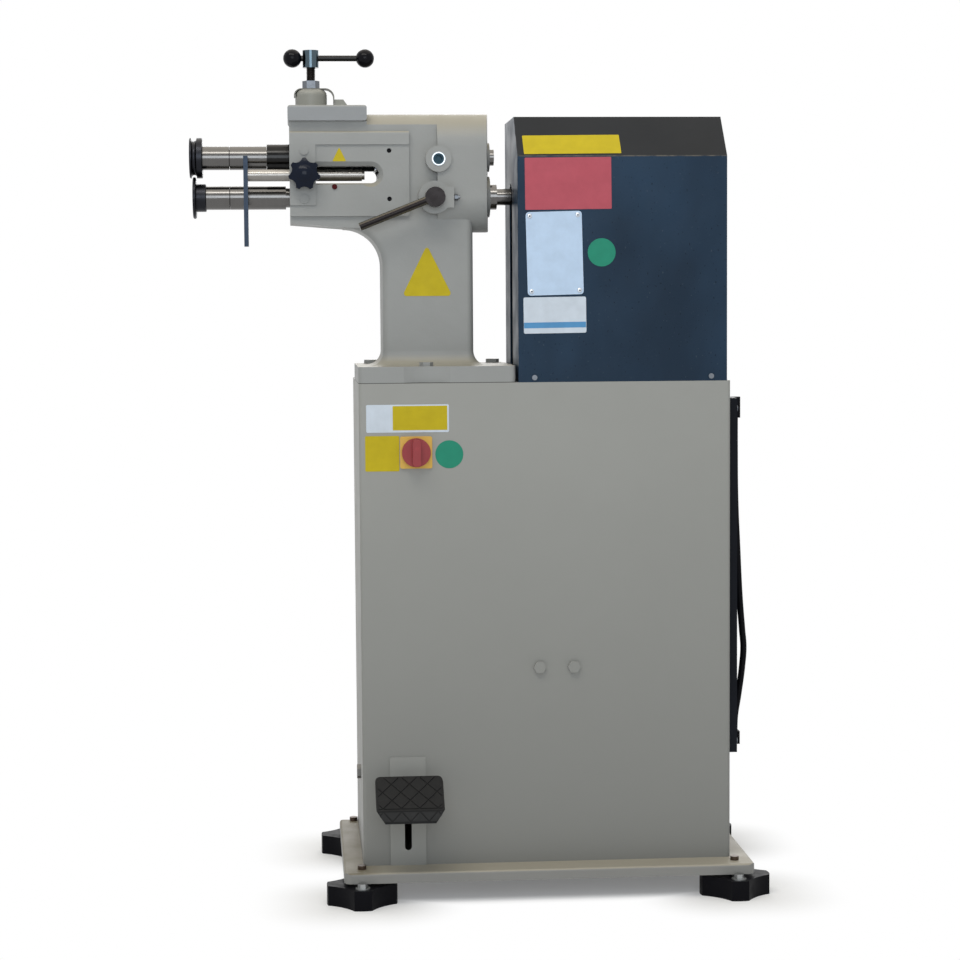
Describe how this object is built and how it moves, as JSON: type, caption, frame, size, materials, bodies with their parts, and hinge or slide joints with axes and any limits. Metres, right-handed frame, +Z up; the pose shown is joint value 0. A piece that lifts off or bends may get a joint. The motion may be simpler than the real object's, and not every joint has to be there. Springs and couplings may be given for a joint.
{
  "type": "motorised swaging jenny",
  "caption": "Floor-standing motorised swaging jenny: cast head with geared roll shafts, pressure screw and gauge on a cabinet with a drive hood and foot pedal.",
  "frame": {"origin": "middle of the part's box, on the floor under the foot pads", "axes": "+Z up, +X along the shafts from the rolls to the drive, -Y towards the operator"},
  "size_m": [0.8685, 0.4565, 1.2834],
  "materials": {
    "cabinet_paint": "satin",
    "casting_paint": "satin",
    "navy_paint": "satin",
    "black_plastic": "matt",
    "black_gloss": "gloss",
    "pad_rubber": "matt",
    "zinc_steel": "satin",
    "bright_steel": "satin",
    "dark_steel": "satin",
    "stop_steel": "satin",
    "bolt_steel": "satin",
    "bronze": "satin",
    "red_plastic": "gloss",
    "yellow_plastic": "gloss",
    "motor_paint": "satin",
    "box_plastic": "matt"
  },
  "bodies": {
    "base": {"foot_pads": "black_plastic", "foot_bolts": "bolt_steel", "base_pan": "cabinet_paint", "cabinet_shell": "cabinet_paint", "cabinet_top": "cabinet_paint", "back_panel": "cabinet_paint", "panel_screws": "zinc_steel", "side_panel": "navy_paint", "lead_glands": "black_plastic", "side_lead": "black_plastic", "cable_inlet": "black_plastic", "front_bolts": "cabinet_paint", "control_box": "box_plastic", "switch_plate": "yellow_plastic", "switch_body": "black_plastic", "pedal_guard": "cabinet_paint", "pedal_pivot": "zinc_steel", "pedal_bracket": "zinc_steel", "pedal_spring": "zinc_steel", "pedal_switch": "black_plastic", "head_frame": "casting_paint", "flange_bolts": "casting_paint", "top_cap": "casting_paint", "cap_screws": "zinc_steel", "screw_strap": "casting_paint", "screw_nut": "zinc_steel", "trunnion_screws": "zinc_steel", "lower_bushes": "bronze", "oil_point": "red_plastic", "gauge_bracket": "casting_paint", "gauge_screws": "casting_paint", "lever_screw": "zinc_steel", "drive_cover": "navy_paint", "gear_motor": "motor_paint", "motor_stand": "zinc_steel"},
    "rocker": {"rocker": "dark_steel", "rocker_bushes": "bronze"},
    "upper_shaft": {"upper_shaft": "bright_steel", "upper_spacers": "bright_steel", "upper_roll": "dark_steel", "upper_roll_screw": "dark_steel", "upper_gear": "dark_steel"},
    "lower_shaft": {"lower_shaft": "bright_steel", "lower_spacers": "bright_steel", "lower_roll": "dark_steel", "lower_roll_screw": "dark_steel", "lower_gear": "dark_steel", "drive_coupling": "zinc_steel"},
    "thrust_foot": {"thrust_foot": "zinc_steel"},
    "pressure_screw": {"pressure_screw": "dark_steel", "handle_hub": "zinc_steel"},
    "tommy_bar": {"tommy_bar": "dark_steel", "ball_knobs": "black_gloss"},
    "gauge": {"gauge_rod": "bright_steel", "gauge_stop": "stop_steel"},
    "star_knob": {"star_knob": "black_plastic"},
    "lock_lever": {"lock_lever": "dark_steel"},
    "switch_knob": {"switch_knob": "red_plastic"},
    "pedal": {"pedal_arm": "dark_steel", "pedal_pad": "pad_rubber"}
  },
  "joints": [
    {"name": "screw_turn", "type": "hinge", "parent": "thrust_foot", "child": "pressure_screw", "pos_m": [-0.2497, -0.02825, 1.2551], "axis": [0, 0, 1], "range_deg": [0, 1080]},
    {"name": "foot_lift", "type": "slide", "parent": "base", "child": "thrust_foot", "axis": [0, 0, 1], "range_m": [0, 0.00605]},
    {"name": "rocker_tilt", "type": "hinge", "parent": "base", "child": "rocker", "pos_m": [-0.0612, -0.02825, 1.1135], "axis": [0, 1, 0], "range_deg": [0, 1.85]},
    {"name": "tommy_slide", "type": "slide", "parent": "pressure_screw", "child": "tommy_bar", "axis": [-1, 0, 0], "range_m": [0, 0.054]},
    {"name": "lower_spin", "type": "hinge", "parent": "base", "child": "lower_shaft", "pos_m": [-0.2837, -0.02825, 1.0595], "axis": [1, 0, 0], "continuous": true},
    {"name": "upper_spin", "type": "hinge", "parent": "rocker", "child": "upper_shaft", "pos_m": [-0.2837, -0.02825, 1.1195], "axis": [1, 0, 0], "continuous": true},
    {"name": "gauge_slide", "type": "slide", "parent": "base", "child": "gauge", "axis": [1, 0, 0], "range_m": [-0.05, 0.012]},
    {"name": "star_turn", "type": "hinge", "parent": "base", "child": "star_knob", "pos_m": [-0.2617, -0.11725, 1.0913], "axis": [0, 1, 0], "range_deg": [0, 180]},
    {"name": "lever_turn", "type": "hinge", "parent": "base", "child": "lock_lever", "pos_m": [-0.0677, -0.12125, 1.056], "axis": [0, 1, 0], "range_deg": [0, 70]},
    {"name": "switch_turn", "type": "hinge", "parent": "base", "child": "switch_knob", "pos_m": [-0.1007, -0.15025, 0.676], "axis": [0, 1, 0], "range_deg": [0, 90]},
    {"name": "pedal_press", "type": "hinge", "parent": "base", "child": "pedal", "pos_m": [-0.1177, -0.04525, 0.177], "axis": [1, 0, 0], "range_deg": [0, 20], "stiffness_Nm_per_rad": 8, "springref_deg": -20.05}
  ],
  "couplings": [
    {"joint": "foot_lift", "follows": "screw_turn", "m_per_rad": 0.00031831},
    {"joint": "rocker_tilt", "follows": "screw_turn", "ratio": 0.0016934},
    {"joint": "upper_spin", "follows": "lower_spin", "ratio": -1}
  ]
}
